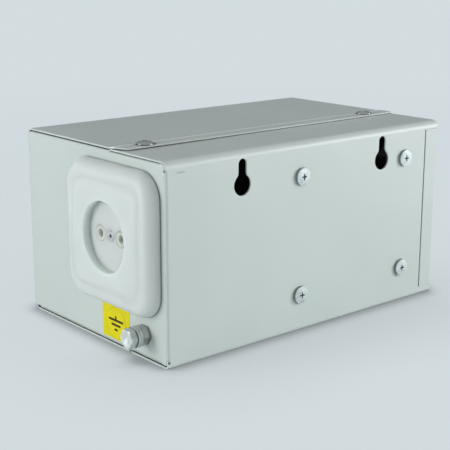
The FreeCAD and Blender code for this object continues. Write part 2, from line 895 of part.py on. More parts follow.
def socket_plate():
    # Pillow-shaped frame, hollow behind, with a softly raised square pad and a round well for the plug
    outer = rolled_pad(socket_size, socket_corner, socket_roll, 0, socket_proud)
    rear = [edge for edge in outer.Edges if edge.BoundBox.XMax < out(touch)]
    outer = outer.makeFillet(socket_rim, rear)
    hollow = rolled_pad(socket_size - 2 * socket_wall, socket_corner - socket_wall, socket_roll - socket_wall,
                        -overcut, socket_proud - socket_wall)
    # The pad is the top of a larger roll, cut off where it meets the frame
    roll = (pad_slope ** 2 + pad_rise ** 2) / (2 * pad_rise)
    reach = pad_flat + 2 * roll
    larger = rolled_pad(reach, pad_corner + roll - pad_slope, roll, pad_face - roll - overcut, pad_face)
    sunk = out(socket_proud - socket_wall / 4)
    pad = larger.common(block(sunk, out(pad_face + overcut), socket_y - reach, socket_y + reach,
                              socket_z - reach, socket_z + reach))
    cup = across(well_diameter + 2 * well_wall, well_back, pad_face)
    plate = fused([outer.cut(hollow), pad, cup]).cut(across(well_diameter, well_floor, pad_face + overcut))
    mouth = [edge for edge in plate.Edges if edge.BoundBox.XMin > out(pad_face) - touch
             and isinstance(edge.Curve, Part.Circle) and abs(edge.Curve.Radius - well_diameter / 2) < touch]
    plate = plate.makeFillet(well_rim, mouth)
    holes = [across(collar_diameter + 2 * collar_fit, 0, socket_proud, place) for place in pin_spots]
    seat = centre_screw_head_height
    head = Part.makeCone(centre_screw_bore / 2, centre_screw_head / 2 + screw_fit, seat,
                         Vector(out(well_floor - seat), socket_y, socket_z), Vector(1, 0, 0))
    holes.append(head)
    holes.append(across(centre_screw_bore + 2 * screw_fit, 0, socket_proud))
    return plate.cut(holes)


sleeve_outer = pin_hole + 2 * sleeve_wall
collar_front = well_floor
base_front = well_back - collar_fit


def socket_base():
    rear = -base_depth - overcut
    solids = [across(base_diameter, -base_depth, base_front), across(base_flange, support_sheet, base_front)]
    cuts = [across(centre_screw_bore + screw_fit, rear, socket_proud)]
    for place in pin_spots:
        solids.append(across(collar_diameter, base_front, collar_front, place))
        cuts.append(across(pin_hole, rear, socket_proud, place))
        cuts.append(across(sleeve_outer + 2 * sleeve_fit, rear, collar_front - sleeve_cover, place))
    return fused(solids).cut(cuts)


def socket_contacts():
    # Each contact is a turned sleeve with a clamping block at its rear end
    contacts = []
    rear = -base_depth - contact_block_length
    half = contact_block / 2
    for y, z in pin_spots:
        sleeve = across(sleeve_outer, rear, collar_front - sleeve_cover, (y, z))
        bore = across(pin_hole, -base_depth / 2, socket_proud, (y, z))
        clamp = block(out(rear), out(-base_depth), y - half, y + half, z - half, z + half)
        middle = out(rear + contact_block_length / 2)
        entry = rod(wire_hole, (middle, y, z - contact_block), (middle, y, z + contact_block))
        contacts.append(fused([sleeve, clamp]).cut([bore, entry]))
    return contacts


def socket_support():
    plate = prism(socket_square(support_size, support_corner), "YZ", out(0), out(support_sheet))
    ends = (-overcut, support_sheet + overcut)
    cuts = [across(fixing_bore + screw_fit, *ends, place) for place in fixing_spots]
    return plate.cut(cuts + [across(base_diameter + 2 * base_fit, *ends)])


def socket_centre_screw():
    seat = centre_screw_head_height
    head = Part.makeCone(centre_screw_bore / 2, centre_screw_head / 2, seat, Vector(0, 0, -seat))
    screw = fused([head, rod(centre_screw_bore, (0, 0, -centre_screw_length), (0, 0, -seat))])
    screw = screw.cut(cross_recess(centre_screw_head, 0))
    return set_at(screw, (out(well_floor), socket_y, socket_z), (1, 0, 0))


def socket_fixing_screws():
    screw = cross_screw(fixing_head, fixing_head_height, pan_crown, fixing_bore, fixing_length)
    return [set_at(screw, (out(support_sheet), y, z), (1, 0, 0)) for y, z in fixing_spots]


def socket_fixing_nuts():
    nut = hex_nut(fixing_nut_flats, fixing_bore + nut_fit, fixing_nut_height)
    return [set_at(nut, (out(-sheet), y, z), (-1, 0, 0)) for y, z in fixing_spots]


# Earth terminal: nut, two lug washers and a hexagon bolt outside, a washer and nut inside

earth_lug_seat = earth_nut_height + earth_lug_gap
earth_head_seat = earth_lug_seat + 2 * earth_washer_height + 2 * earth_lug_gap


def earth_bolt():
    head = hex_nut(earth_flats, earth_bore, earth_head_height)
    core = rod(earth_bore, (0, 0, -earth_head_seat - sheet - earth_inner_length), (0, 0, earth_head_height))
    bolt = fused([head, core])
    rim = earth_flats * earth_dish_share / 2
    dish = Part.makeCone(0, rim, earth_dish, Vector(0, 0, earth_head_height - earth_dish))
    return set_at(bolt.cut(dish), (out(earth_head_seat), earth_y, earth_z), (1, 0, 0))


def earth_washers():
    washer = ring(earth_washer, earth_bore + screw_fit, earth_washer_height)
    seats = [earth_lug_seat, earth_lug_seat + earth_washer_height + earth_lug_gap]
    return [set_at(washer, (out(seat), earth_y, earth_z), (1, 0, 0)) for seat in seats]


def earth_nut():
    nut = hex_nut(earth_flats, earth_bore + nut_fit, earth_nut_height)
    return set_at(nut, (out(0), earth_y, earth_z), (1, 0, 0))


def earth_inner_nut():
    nut = hex_nut(earth_flats, earth_bore + nut_fit, earth_nut_height)
    return set_at(nut, (out(-sheet - earth_washer_height), earth_y, earth_z), (-1, 0, 0))


def earth_inner_washer():
    washer = ring(earth_washer, earth_bore + screw_fit, earth_washer_height)
    return set_at(washer, (out(-sheet), earth_y, earth_z), (-1, 0, 0))


def earth_label():
    right = half_depth - earth_label_from_wall
    return block(out(0), out(earth_label_sheet), right - earth_label_width, right,
                 earth_label_base, earth_label_base + earth_label_height)


def cable_grommet():
    groove = grommet_hole / 2 - grommet_fit
    lip = grommet_lip / 2
    bore = grommet_bore / 2
    outer = grommet_lip_height
    inner = -sheet - grommet_fit
    outline = polygon([(bore, outer), (lip - outer / 2, outer), (lip, outer / 2), (lip, grommet_fit),
                       (groove, grommet_fit), (groove, inner), (lip, inner),
                       (lip, inner - outer / 2), (lip - outer / 2, inner - outer), (bore, inner - outer)])
    return set_at(revolved(outline), (-half_length, grommet_y, grommet_z), (-1, 0, 0))


# Internal wires: straight runs joined by tangent arcs

def wire(points):
    knots = [Vector(*point) for point in points]
    runs = []
    last = knots[0]
    for i in range(1, len(knots) - 1):
        before = knots[i] - knots[i - 1]
        after = knots[i + 1] - knots[i]
        setback = wire_corner_share * min(before.Length, after.Length)
        turn = before.getAngle(after)
        radius = setback / math.tan(turn / 2)
        before.normalize()
        after.normalize()
        axis = before.cross(after).normalize()
        start = knots[i] - before * setback
        section = Part.Face(Part.Wire([Part.makeCircle(wire_diameter / 2, start, before)]))
        runs.append(rod(wire_diameter, last, start))
        runs.append(section.revolve(start + axis.cross(before) * radius, axis, math.degrees(turn)))
        last = knots[i] + after * setback
    runs.append(rod(wire_diameter, last, knots[-1]))
    return fused(runs)


entry_y = rail_face - entry_from_rail
entry_high = breaker_z + breaker_height / 2
entry_low = breaker_z - breaker_height / 2
block_y = core_front - block_seat_gap - block_depth / 2
pole_reach = block_height / 2 + block_screw / 2 + wire_end_gap
pole_high = flange_high + pole_reach
pole_low = flange_low - pole_reach
contact_x = out(-base_depth - contact_block_length / 2)
wire_high = box_height - wire_headroom
wire_low = wire_floor


def primary_wire():
    x = breaker_middle(-1)
    pole = block_spots()[-1]
    return wire([(x, entry_y, entry_high - wire_sink), (x, entry_y, wire_high), (pole, block_y, wire_high),
                 (pole, block_y, pole_high)])


def secondary_wire():
    x = breaker_middle(1)
    pole = block_spots()[-1]
    return wire([(pole, block_y, pole_low), (pole, block_y, wire_low), (x, entry_y, wire_low),
                 (x, entry_y, entry_low + wire_sink)])


def socket_feed_wire():
    x = breaker_middle(1)
    y, z = pin_spots[0]
    return wire([(x, entry_y, entry_high - wire_sink), (x, entry_y, wire_high), (contact_x, y, wire_high),
                 (contact_x, y, z + contact_block / 2 - contact_wire_sink)])


def socket_return_wire():
    pole = block_spots()[-2]
    y, z = pin_spots[1]
    low = wire_low - wire_diameter
    return wire([(pole, block_y, pole_low), (pole, block_y, low), (contact_x, y, low),
                 (contact_x, y, z - contact_block / 2 + contact_wire_sink)])


pieces = {
    "rear_chassis": rear_chassis(),
    "end_panel": end_panel(),
    "seam_strap": seam_strap(),
    "front_cover": front_cover(),
    "cover_screws": cover_screws(),
    "core_e_stack": core_e_stack(),
    "core_i_stack": core_i_stack(),
    "coil_bobbin": coil_bobbin(),
    "primary_winding": coil_tube(primary_inset, primary_build, winding_low, winding_high),
    "secondary_winding": coil_tube(secondary_inset, secondary_build, winding_low, winding_high),
    "winding_wrap": coil_tube(wrap_inset, wrap_build, winding_low, winding_high),
    "primary_terminals": terminal_block(1),
    "secondary_terminals": terminal_block(-1),
    "terminal_screws": terminal_screws(),
    "transformer_screws": transformer_screws(),
    "transformer_spacers": transformer_spacers(),
    "transformer_washers": transformer_washers(),
    "transformer_nuts": transformer_nuts(),
    "breaker_bracket": breaker_bracket(),
    "mounting_rail": mounting_rail(),
    "rail_screws": rail_screws(),
    "rail_nuts": rail_nuts(),
    "supply_breaker": breaker(-1),
    "load_breaker": breaker(1),
    "supply_lever": breaker_lever(-1),
    "load_lever": breaker_lever(1),
    "breaker_clamp_screws": breaker_clamp_screws(),
    "socket_plate": socket_plate(),
    "socket_base": socket_base(),
    "socket_contacts": socket_contacts(),
    "socket_support": socket_support(),
    "socket_centre_screw": socket_centre_screw(),
    "socket_fixing_screws": socket_fixing_screws(),
    "socket_fixing_nuts": socket_fixing_nuts(),
    "earth_bolt": earth_bolt(),
    "earth_washers": earth_washers(),
    "earth_nut": earth_nut(),
    "earth_inner_washer": earth_inner_washer(),
    "earth_inner_nut": earth_inner_nut(),
    "earth_label": earth_label(),
    "cable_grommet": cable_grommet(),
    "primary_wire": primary_wire(),
    "secondary_wire": secondary_wire(),
    "socket_feed_wire": socket_feed_wire(),
    "socket_return_wire": socket_return_wire(),
}

os.makedirs("parts", exist_ok=True)
for name, shape in pieces.items():
    solid = Part.makeCompound(shape) if isinstance(shape, list) else shape
    solid.exportStep(os.path.join("parts", name + ".step"))
    print(name, len(solid.Solids), solid.isValid(), round(solid.Volume, 1))
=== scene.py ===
import math

import bmesh
import bpy
from mathutils import Matrix, Vector


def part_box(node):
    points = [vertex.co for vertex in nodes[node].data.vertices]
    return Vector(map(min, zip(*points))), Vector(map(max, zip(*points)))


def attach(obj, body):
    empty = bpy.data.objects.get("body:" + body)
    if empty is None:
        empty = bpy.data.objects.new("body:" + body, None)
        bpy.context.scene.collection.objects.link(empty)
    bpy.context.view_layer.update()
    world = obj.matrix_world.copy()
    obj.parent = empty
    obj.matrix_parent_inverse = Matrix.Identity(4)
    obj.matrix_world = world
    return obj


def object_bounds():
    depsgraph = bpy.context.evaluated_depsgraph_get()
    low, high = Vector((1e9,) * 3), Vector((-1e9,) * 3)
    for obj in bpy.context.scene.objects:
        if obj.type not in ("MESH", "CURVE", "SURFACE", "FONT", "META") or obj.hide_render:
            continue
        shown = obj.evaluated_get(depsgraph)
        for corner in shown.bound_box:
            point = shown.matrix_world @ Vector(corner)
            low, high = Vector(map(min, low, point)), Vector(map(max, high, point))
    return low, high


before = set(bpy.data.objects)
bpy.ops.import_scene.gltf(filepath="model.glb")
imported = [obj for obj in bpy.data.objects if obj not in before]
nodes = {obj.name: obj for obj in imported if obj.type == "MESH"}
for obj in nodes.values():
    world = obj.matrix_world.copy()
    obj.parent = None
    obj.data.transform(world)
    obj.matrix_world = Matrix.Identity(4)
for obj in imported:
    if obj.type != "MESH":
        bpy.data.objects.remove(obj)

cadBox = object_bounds()
scene = bpy.context.scene
scene.view_settings.view_transform = "Standard"


# Node helpers

def addNode(tree, kind, sockets=None, **settings):
    made = tree.nodes.new("ShaderNode" + kind)
    for key, value in settings.items():
        setattr(made, key, value)
    for key, value in (sockets or {}).items():
        setSocket(tree, made.inputs[key], value)
    return made


def setSocket(tree, socket, value):
    if isinstance(value, bpy.types.NodeSocket):
        tree.links.new(value, socket)
    else:
        socket.default_value = value


def calc(tree, operation, first, second=0.0):
    made = addNode(tree, "Math", {0: first, 1: second}, operation=operation)
    return made.outputs[0]


def remap(tree, value, low, high, newLow=0.0, newHigh=1.0):
    sockets = {"Value": value, "From Min": low, "From Max": high, "To Min": newLow, "To Max": newHigh}
    return addNode(tree, "MapRange", sockets).outputs[0]


def mixColour(tree, factor, first, second):
    made = addNode(tree, "Mix", data_type="RGBA")
    for index, value in ((0, factor), (6, first), (7, second)):
        setSocket(tree, made.inputs[index], value)
    return made.outputs[2]


def noise(tree, vector, scale, detail=2.0, rough=0.5):
    sockets = {"Vector": vector, "Scale": scale, "Detail": detail, "Roughness": rough}
    return addNode(tree, "TexNoise", sockets).outputs["Fac"]


def shade(colour, amount):
    return tuple(channel * amount for channel in colour) + (1.0,)


# Shared effects, each one node group

def newGroup(name, inputs, outputs):
    tree = bpy.data.node_groups.new(name, "ShaderNodeTree")
    for label, value in inputs.items():
        kind = "NodeSocketVector" if value is None else "NodeSocketFloat"
        socket = tree.interface.new_socket(name=label, in_out="INPUT", socket_type=kind)
        if value is not None:
            socket.default_value = value
    for label in outputs:
        kind = "NodeSocketVector" if label == "Normal" else "NodeSocketFloat"
        tree.interface.new_socket(name=label, in_out="OUTPUT", socket_type=kind)
    return tree, tree.nodes.new("NodeGroupInput").outputs, tree.nodes.new("NodeGroupOutput").inputs


def makePaintSkin():
    inputs = {"Vector": None, "Peel": 620.0, "Specks": 190.0, "Share": 0.007}
    tree, given, wanted = newGroup("paintSkin", inputs, ["Height", "Tone", "Speck"])
    wave = noise(tree, given["Vector"], given["Peel"], 1.5)
    fine = noise(tree, given["Vector"], calc(tree, "MULTIPLY", given["Peel"], 3.3), 1.0)
    height = calc(tree, "ADD", calc(tree, "MULTIPLY", wave, 0.78), calc(tree, "MULTIPLY", fine, 0.22))
    tone = remap(tree, noise(tree, given["Vector"], 16.0, 3.0), 0.3, 0.7)
    cells = addNode(tree, "TexVoronoi", {"Vector": given["Vector"], "Scale": given["Specks"]})
    pick = addNode(tree, "SeparateColor", {"Color": cells.outputs["Color"]}).outputs["Red"]
    chosen = calc(tree, "LESS_THAN", pick, given["Share"])
    dot = remap(tree, cells.outputs["Distance"], 0.06, 0.16, 1.0, 0.0)
    tree.links.new(height, wanted["Height"])
    tree.links.new(tone, wanted["Tone"])
    tree.links.new(calc(tree, "MULTIPLY", chosen, dot), wanted["Speck"])
    return tree


def makeSoftEdge():
    tree, given, wanted = newGroup("softEdge", {"Radius": 0.0004}, ["Normal", "Edge"])
    bevel = addNode(tree, "Bevel", {"Radius": given["Radius"]}, samples=6)
    flat = addNode(tree, "NewGeometry").outputs["Normal"]
    along = addNode(tree, "VectorMath", {0: bevel.outputs[0], 1: flat}, operation="DOT_PRODUCT")
    tree.links.new(bevel.outputs[0], wanted["Normal"])
    tree.links.new(remap(tree, along.outputs["Value"], 0.985, 0.86), wanted["Edge"])
    return tree


def makeMetalGrain():
    tree, given, wanted = newGroup("metalGrain", {"Vector": None, "Scale": 260.0, "Stretch": 14.0},
                                   ["Height", "Streak", "Cloud"])
    longer = addNode(tree, "CombineXYZ", {0: given["Stretch"], 1: given["Stretch"], 2: 1.0}).outputs[0]
    drawn = addNode(tree, "VectorMath", {0: given["Vector"], 1: longer}, operation="MULTIPLY").outputs[0]
    streak = noise(tree, drawn, given["Scale"], 3.0, 0.6)
    cloud = noise(tree, given["Vector"], calc(tree, "MULTIPLY", given["Scale"], 0.9), 2.0)
    grit = noise(tree, given["Vector"], calc(tree, "MULTIPLY", given["Scale"], 9.0), 1.0)
    tree.links.new(calc(tree, "ADD", calc(tree, "MULTIPLY", streak, 0.6), calc(tree, "MULTIPLY", grit, 0.4)),
                   wanted["Height"])
    tree.links.new(remap(tree, streak, 0.3, 0.7), wanted["Streak"])
    tree.links.new(remap(tree, cloud, 0.35, 0.65), wanted["Cloud"])
    return tree


def makeMouldGrain():
    tree, given, wanted = newGroup("mouldGrain", {"Vector": None, "Scale": 1500.0}, ["Height", "Tone"])
    grain = noise(tree, given["Vector"], given["Scale"], 2.0, 0.6)
    flow = noise(tree, given["Vector"], 30.0, 2.0)
    tree.links.new(grain, wanted["Height"])
    tree.links.new(remap(tree, flow, 0.35, 0.65), wanted["Tone"])
    return tree


# Ambient occlusion as a mask: the materials below use it to paint shade into their colours
def makeCrevice():
    tree, given, wanted = newGroup("crevice", {"Reach": 0.003, "Open": 0.78, "Shut": 0.22}, ["Depth"])
    exposed = addNode(tree, "AmbientOcclusion", {"Distance": given["Reach"]}, samples=6)
    tree.links.new(remap(tree, exposed.outputs["AO"], given["Open"], given["Shut"]), wanted["Depth"])
    return tree


groups = {"paintSkin": makePaintSkin(), "softEdge": makeSoftEdge(), "metalGrain": makeMetalGrain(),
          "mouldGrain": makeMouldGrain(), "crevice": makeCrevice()}
print("shared effects:", ", ".join(groups))


def useGroup(tree, name, sockets):
    return addNode(tree, "Group", sockets, node_tree=groups[name]).outputs


def findCrevice(tree, values):
    sockets = {"Reach": values["reach"], "Open": values["open"], "Shut": values["shut"]}
    return useGroup(tree, "crevice", sockets)["Depth"]


def nearness(tree, value, middle, solid, reach):
    off = calc(tree, "ABSOLUTE", calc(tree, "SUBTRACT", value, middle))
    return remap(tree, off, solid, reach, 1.0, 0.0)


def newMaterial(name, roughness=0.5, metallic=0.0):
    material = bpy.data.materials.new(name)
    material.use_nodes = True
    tree = material.node_tree
    shader = tree.nodes["Principled BSDF"]
    shader.inputs["Roughness"].default_value = roughness
    shader.inputs["Metallic"].default_value = metallic
    place = addNode(tree, "TexCoord").outputs["Object"]
    return material, tree, shader, place


def raiseSurface(tree, shader, height, depth, normal=None):
    sockets = {"Height": height, "Strength": 1.0, "Distance": depth}
    if normal is not None:
        sockets["Normal"] = normal
    bump = addNode(tree, "Bump", sockets)
    tree.links.new(bump.outputs[0], shader.inputs["Normal"])


def spreadRoughness(tree, shader, value, span, rough, spread):
    low, high = [rough + step for step in spread]
    tree.links.new(remap(tree, value, *span, low, high), shader.inputs["Roughness"])


# Powder coat of the folded case

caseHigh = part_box("rear_chassis")[1]
powderCoat = {"colour": (0.560, 0.618, 0.592), "tones": (0.975, 1.02), "rough": 0.40, "spread": (-0.03, 0.03),
              "peelDepth": 0.000030, "speck": 0.60, "edge": 0.0003, "edgeTone": 1.06, "edgeShare": 0.2}
# Painted shade in joints, painted shadow under the lip, painted highlight on the lip crease, painted shade of
# a press dent
paintJointShade = {"reach": 0.0012, "open": 0.78, "shut": 0.22, "tone": 0.22, "foot": (0.0035, 0.0060)}
paintLapShade = {"reach": 0.0100, "open": 0.992, "shut": 0.92, "tone": 0.08, "upward": 0.9, "run": (-0.01, 0.08)}
lipCreaseHighlight = {"middle": caseHigh.y - 0.0480, "reach": 0.0020, "tone": 1.45, "above": caseHigh.z + 0.0002}
pressMarkShade = {"behind": caseHigh.y - 0.0005, "solid": 0.4, "tone": 0.70,
             "spans": {"X": (caseHigh.x - 0.0097, 0.0040), "Z": (caseHigh.z - 0.0064, 0.0007)}}


def makePowderCoat(values):
    material, tree, shader, place = newMaterial("powderCoat", values["rough"])
    plain = values["colour"]
    spot = addNode(tree, "SeparateXYZ", {"Vector": place}).outputs
    skin = useGroup(tree, "paintSkin", {"Vector": place})
    edge = useGroup(tree, "softEdge", {"Radius": values["edge"]})
    colour = mixColour(tree, skin["Tone"], *[shade(plain, tone) for tone in values["tones"]])
    rim = calc(tree, "MULTIPLY", edge["Edge"], values["edgeShare"])
    colour = mixColour(tree, rim, colour, shade(plain, values["edgeTone"]))
    colour = mixColour(tree, skin["Speck"], colour, shade(plain, values["speck"]))
    # Painted shade in joints and narrow gaps, from ambient occlusion, but not at the foot
    jointShade = calc(tree, "MULTIPLY", findCrevice(tree, paintJointShade), remap(tree, spot["Z"], *paintJointShade["foot"]))
    colour = mixColour(tree, jointShade, colour, shade(plain, paintJointShade["tone"]))
    # Painted shadow on up-facing sheet under the lip, from ambient occlusion, darkest by the socket end
    facing = addNode(tree, "SeparateXYZ", {"Vector": addNode(tree, "NewGeometry").outputs["Normal"]})
    upward = calc(tree, "GREATER_THAN", facing.outputs["Z"], paintLapShade["upward"])
    lap = calc(tree, "MULTIPLY", findCrevice(tree, paintLapShade), upward)
    lap = calc(tree, "MULTIPLY", lap, remap(tree, spot["X"], *paintLapShade["run"]))
    colour = mixColour(tree, lap, colour, shade(plain, paintLapShade["tone"]))
    # Painted highlight along the crease of the lip
    crease = calc(tree, "MULTIPLY", nearness(tree, spot["Y"], lipCreaseHighlight["middle"], 0.0, lipCreaseHighlight["reach"]),
                  calc(tree, "GREATER_THAN", spot["Z"], lipCreaseHighlight["above"]))
    colour = mixColour(tree, crease, colour, shade(plain, lipCreaseHighlight["tone"]))
    # Painted shade of a short press dent under the rear bend: a darker patch, with no dent in the shape
    markShade = calc(tree, "GREATER_THAN", spot["Y"], pressMarkShade["behind"])
    for axis, (middle, reach) in pressMarkShade["spans"].items():
        along = nearness(tree, spot[axis], middle, reach * pressMarkShade["solid"], reach)
        markShade = calc(tree, "MULTIPLY", markShade, along)
    colour = mixColour(tree, markShade, colour, shade(plain, pressMarkShade["tone"]))
    tree.links.new(colour, shader.inputs["Base Color"])
    spreadRoughness(tree, shader, skin["Tone"], (0.0, 1.0), values["rough"], values["spread"])
    raiseSurface(tree, shader, skin["Height"], values["peelDepth"], edge["Normal"])
    return material


# Mouldings of the socket, breakers, terminals and bobbin

mouldings = {
    "whiteMoulding": {"colour": (0.648, 0.706, 0.682), "rough": 0.50, "grain": 900.0, "depth": 0.000012,
                      "jointShade": 1.0, "glow": 1.0},
    "creamMoulding": {"colour": (0.72, 0.77, 0.70), "rough": 0.45, "grain": 1300.0, "depth": 0.00002,
                      "jointShade": 1.0, "glow": 1.0},
    "breakerMoulding": {"colour": (0.60, 0.62, 0.61), "rough": 0.42, "grain": 1700.0, "depth": 0.00003},
    "leverMoulding": {"colour": (0.022, 0.024, 0.027), "rough": 0.38, "grain": 1500.0, "depth": 0.00003},
    "terminalMoulding": {"colour": (0.020, 0.020, 0.022), "rough": 0.45, "grain": 1500.0, "depth": 0.00003},
    "bobbinNylon": {"colour": (0.030, 0.030, 0.032), "rough": 0.52, "grain": 1100.0, "depth": 0.00004},
    "softRubber": {"colour": (0.016, 0.016, 0.016), "rough": 0.62, "grain": 1900.0, "depth": 0.00004},
    "brownInsulation": {"colour": (0.125, 0.045, 0.020), "rough": 0.36, "grain": 700.0, "depth": 0.00002},
    "blueInsulation": {"colour": (0.020, 0.075, 0.330), "rough": 0.36, "grain": 700.0, "depth": 0.00002},
}
mouldTones = {"tones": (0.98, 1.02), "edge": 0.0004, "edgeTone": 1.18, "edgeShare": 0.25,
              "spread": (-0.04, 0.05), "glowReach": 0.007}
mouldJointShade = {"reach": 0.0018, "open": 0.78, "shut": 0.22, "tone": 0.45}


def makeMoulding(name, values):
    material, tree, shader, place = newMaterial(name, values["rough"])
    plain = values["colour"]
    # Pale plastic lets light in
    if "glow" in values:
        shader.inputs["Subsurface Weight"].default_value = values["glow"]
        shader.inputs["Subsurface Radius"].default_value = (1.0, 1.0, 1.0)
        shader.inputs["Subsurface Scale"].default_value = mouldTones["glowReach"]
    grain = useGroup(tree, "mouldGrain", {"Vector": place, "Scale": values["grain"]})
    edge = useGroup(tree, "softEdge", {"Radius": mouldTones["edge"]})
    colour = mixColour(tree, grain["Tone"], *[shade(plain, tone) for tone in mouldTones["tones"]])
    rim = calc(tree, "MULTIPLY", edge["Edge"], mouldTones["edgeShare"])
    colour = mixColour(tree, rim, colour, shade(plain, mouldTones["edgeTone"]))
    # Painted shade in joints and recesses, from ambient occlusion; the white and cream mouldings get none
    jointShadeColour = shade(plain, values.get("jointShade", mouldJointShade["tone"]))
    tree.links.new(mixColour(tree, findCrevice(tree, mouldJointShade), colour, jointShadeColour), shader.inputs["Base Color"])
    spreadRoughness(tree, shader, grain["Height"], (0.3, 0.7), values["rough"], mouldTones["spread"])
    raiseSurface(tree, shader, grain["Height"], values["depth"], edge["Normal"])
    return material


# Metals

metals = {
    "brightZinc": {"colour": (0.78, 0.81, 0.80), "rough": 0.26, "scale": 300.0, "stretch": 3.0,
                   "depth": 0.000010, "metal": 0.9},
    # The cover screws get a strong painted highlight on their rims
    "polishedZinc": {"colour": (0.60, 0.62, 0.64), "rough": 0.26, "scale": 300.0, "stretch": 3.0,
                     "depth": 0.000006, "edgeTone": 1.55, "edgeShare": 1.0},
    "agedZinc": {"colour": (0.68, 0.73, 0.71), "rough": 0.56, "scale": 360.0, "stretch": 3.0,
                 "depth": 0.000016, "metal": 0.5},
    "whiteZinc": {"colour": (0.55, 0.61, 0.61), "rough": 0.62, "scale": 420.0, "stretch": 2.0,
                  "depth": 0.000020, "metal": 0.8},
    "dullZinc": {"colour": (0.50, 0.52, 0.50), "rough": 0.38, "scale": 320.0, "stretch": 5.0,
                 "depth": 0.000020},
    "galvanisedSheet": {"colour": (0.62, 0.63, 0.60), "rough": 0.40, "scale": 130.0, "stretch": 9.0,
                        "depth": 0.000015},
    "turnedBrass": {"colour": (0.78, 0.57, 0.25), "rough": 0.28, "scale": 400.0, "stretch": 6.0,
                    "depth": 0.000012},
    "nickelPlate": {"colour": (0.80, 0.79, 0.70), "rough": 0.45, "scale": 400.0, "stretch": 6.0,
                    "depth": 0.000012, "metal": 0.4},
}
metalTones = {"tones": (0.86, 1.06), "edge": 0.00025, "edgeTone": 1.18, "edgeShare": 0.4,
              "spread": (-0.07, 0.09)}
metalRecessShade = {"reach": 0.0022, "open": 0.88, "shut": 0.55, "tone": 0.30}


def makeMetal(name, values):
    material, tree, shader, place = newMaterial(name, values["rough"], values.get("metal", 1.0))
    plain = values["colour"]
    sockets = {"Vector": place, "Scale": values["scale"], "Stretch": values["stretch"]}
    grain = useGroup(tree, "metalGrain", sockets)
    edge = useGroup(tree, "softEdge", {"Radius": metalTones["edge"]})
    colour = mixColour(tree, grain["Cloud"], *[shade(plain, tone) for tone in metalTones["tones"]])
    # Lighter rims along sharp edges: a painted highlight
    rim = calc(tree, "MULTIPLY", edge["Edge"], values.get("edgeShare", metalTones["edgeShare"]))
    colour = mixColour(tree, rim, colour, shade(plain, values.get("edgeTone", metalTones["edgeTone"])))
    # Painted shade in recesses, from ambient occlusion
    colour = mixColour(tree, findCrevice(tree, metalRecessShade), colour, shade(plain, metalRecessShade["tone"]))
    tree.links.new(colour, shader.inputs["Base Color"])
    spreadRoughness(tree, shader, grain["Streak"], (0.0, 1.0), values["rough"], metalTones["spread"])
    raiseSurface(tree, shader, grain["Height"], values["depth"], edge["Normal"])
    return material


# Transformer core, windings and tape

coreSteel = {"colour": (0.085, 0.082, 0.080), "tones": (0.55, 1.15), "rust": (0.15, 0.075, 0.04),
             "rustScale": 90.0, "rustShare": 0.6, "rough": 0.47, "spread": (-0.11, 0.11), "metal": 0.6,
             "sheets": 1900.0, "depth": 0.00012}
enamelWire = {"colour": (0.50, 0.16, 0.06), "tones": (0.45, 1.1), "rough": 0.28, "spread": (-0.06, 0.08),
              "metal": 0.75, "turns": 1050.0, "depth": 0.00025}
amberTape = {"colour": (0.60, 0.38, 0.09), "tones": (0.8, 1.05), "rough": 0.3, "spread": (-0.06, 0.10),
             "bands": 70.0, "slope": 0.08, "edge": (0.46, 0.5), "creaseTone": 0.7, "creaseShare": 0.35,
             "depth": 0.00010}


def stripes(tree, place, axis, pitch):
    parts = addNode(tree, "SeparateXYZ", {"Vector": place}).outputs
    wave = calc(tree, "SINE", calc(tree, "MULTIPLY", parts[axis], pitch * 2 * math.pi))
    return remap(tree, wave, -1.0, 1.0)


def makeCoreSteel(values):
    material, tree, shader, place = newMaterial("coreSteel", values["rough"], values["metal"])
    grain = useGroup(tree, "metalGrain", {"Vector": place, "Scale": 200.0, "Stretch": 2.0})
    sheets = stripes(tree, place, "Y", values["sheets"])
    colour = mixColour(tree, sheets, *[shade(values["colour"], tone) for tone in values["tones"]])
    bloom = remap(tree, noise(tree, place, values["rustScale"], 4.0), 0.55, 0.75, 0.0, values["rustShare"])
    colour = mixColour(tree, bloom, colour, shade(values["rust"], 1.0))
    tree.links.new(colour, shader.inputs["Base Color"])
    spreadRoughness(tree, shader, grain["Cloud"], (0.0, 1.0), values["rough"], values["spread"])
    raiseSurface(tree, shader, sheets, values["depth"])
    return material


def makeEnamelWire(values):
    material, tree, shader, place = newMaterial("enamelWire", values["rough"], values["metal"])
    # Each turn a band, darker between turns: painted shade in the grooves of the round wire, with a matching
    # bump
    turns = stripes(tree, place, "Z", values["turns"])
    colour = mixColour(tree, turns, *[shade(values["colour"], tone) for tone in values["tones"]])
    tree.links.new(colour, shader.inputs["Base Color"])
    spreadRoughness(tree, shader, noise(tree, place, 240.0), (0.3, 0.7), values["rough"], values["spread"])
    raiseSurface(tree, shader, turns, values["depth"])
    return material


def makeAmberTape(values):
    material, tree, shader, place = newMaterial("amberTape", values["rough"])
    parts = addNode(tree, "SeparateXYZ", {"Vector": place}).outputs
    slope = calc(tree, "ADD", parts["Z"], calc(tree, "MULTIPLY", parts["X"], values["slope"]))
    lap = remap(tree, calc(tree, "FRACT", calc(tree, "MULTIPLY", slope, values["bands"])), *values["edge"])
    wrinkle = noise(tree, place, 60.0, 3.0)
    crease = remap(tree, wrinkle, 0.4, 0.65, 0.0, values["creaseShare"])
    colour = mixColour(tree, lap, *[shade(values["colour"], tone) for tone in values["tones"]])
    colour = mixColour(tree, crease, colour, shade(values["colour"], values["creaseTone"]))
    tree.links.new(colour, shader.inputs["Base Color"])
    spreadRoughness(tree, shader, wrinkle, (0.3, 0.7), values["rough"], values["spread"])
    raiseSurface(tree, shader, calc(tree, "ADD", lap, wrinkle), values["depth"])
    return material


# Earth label

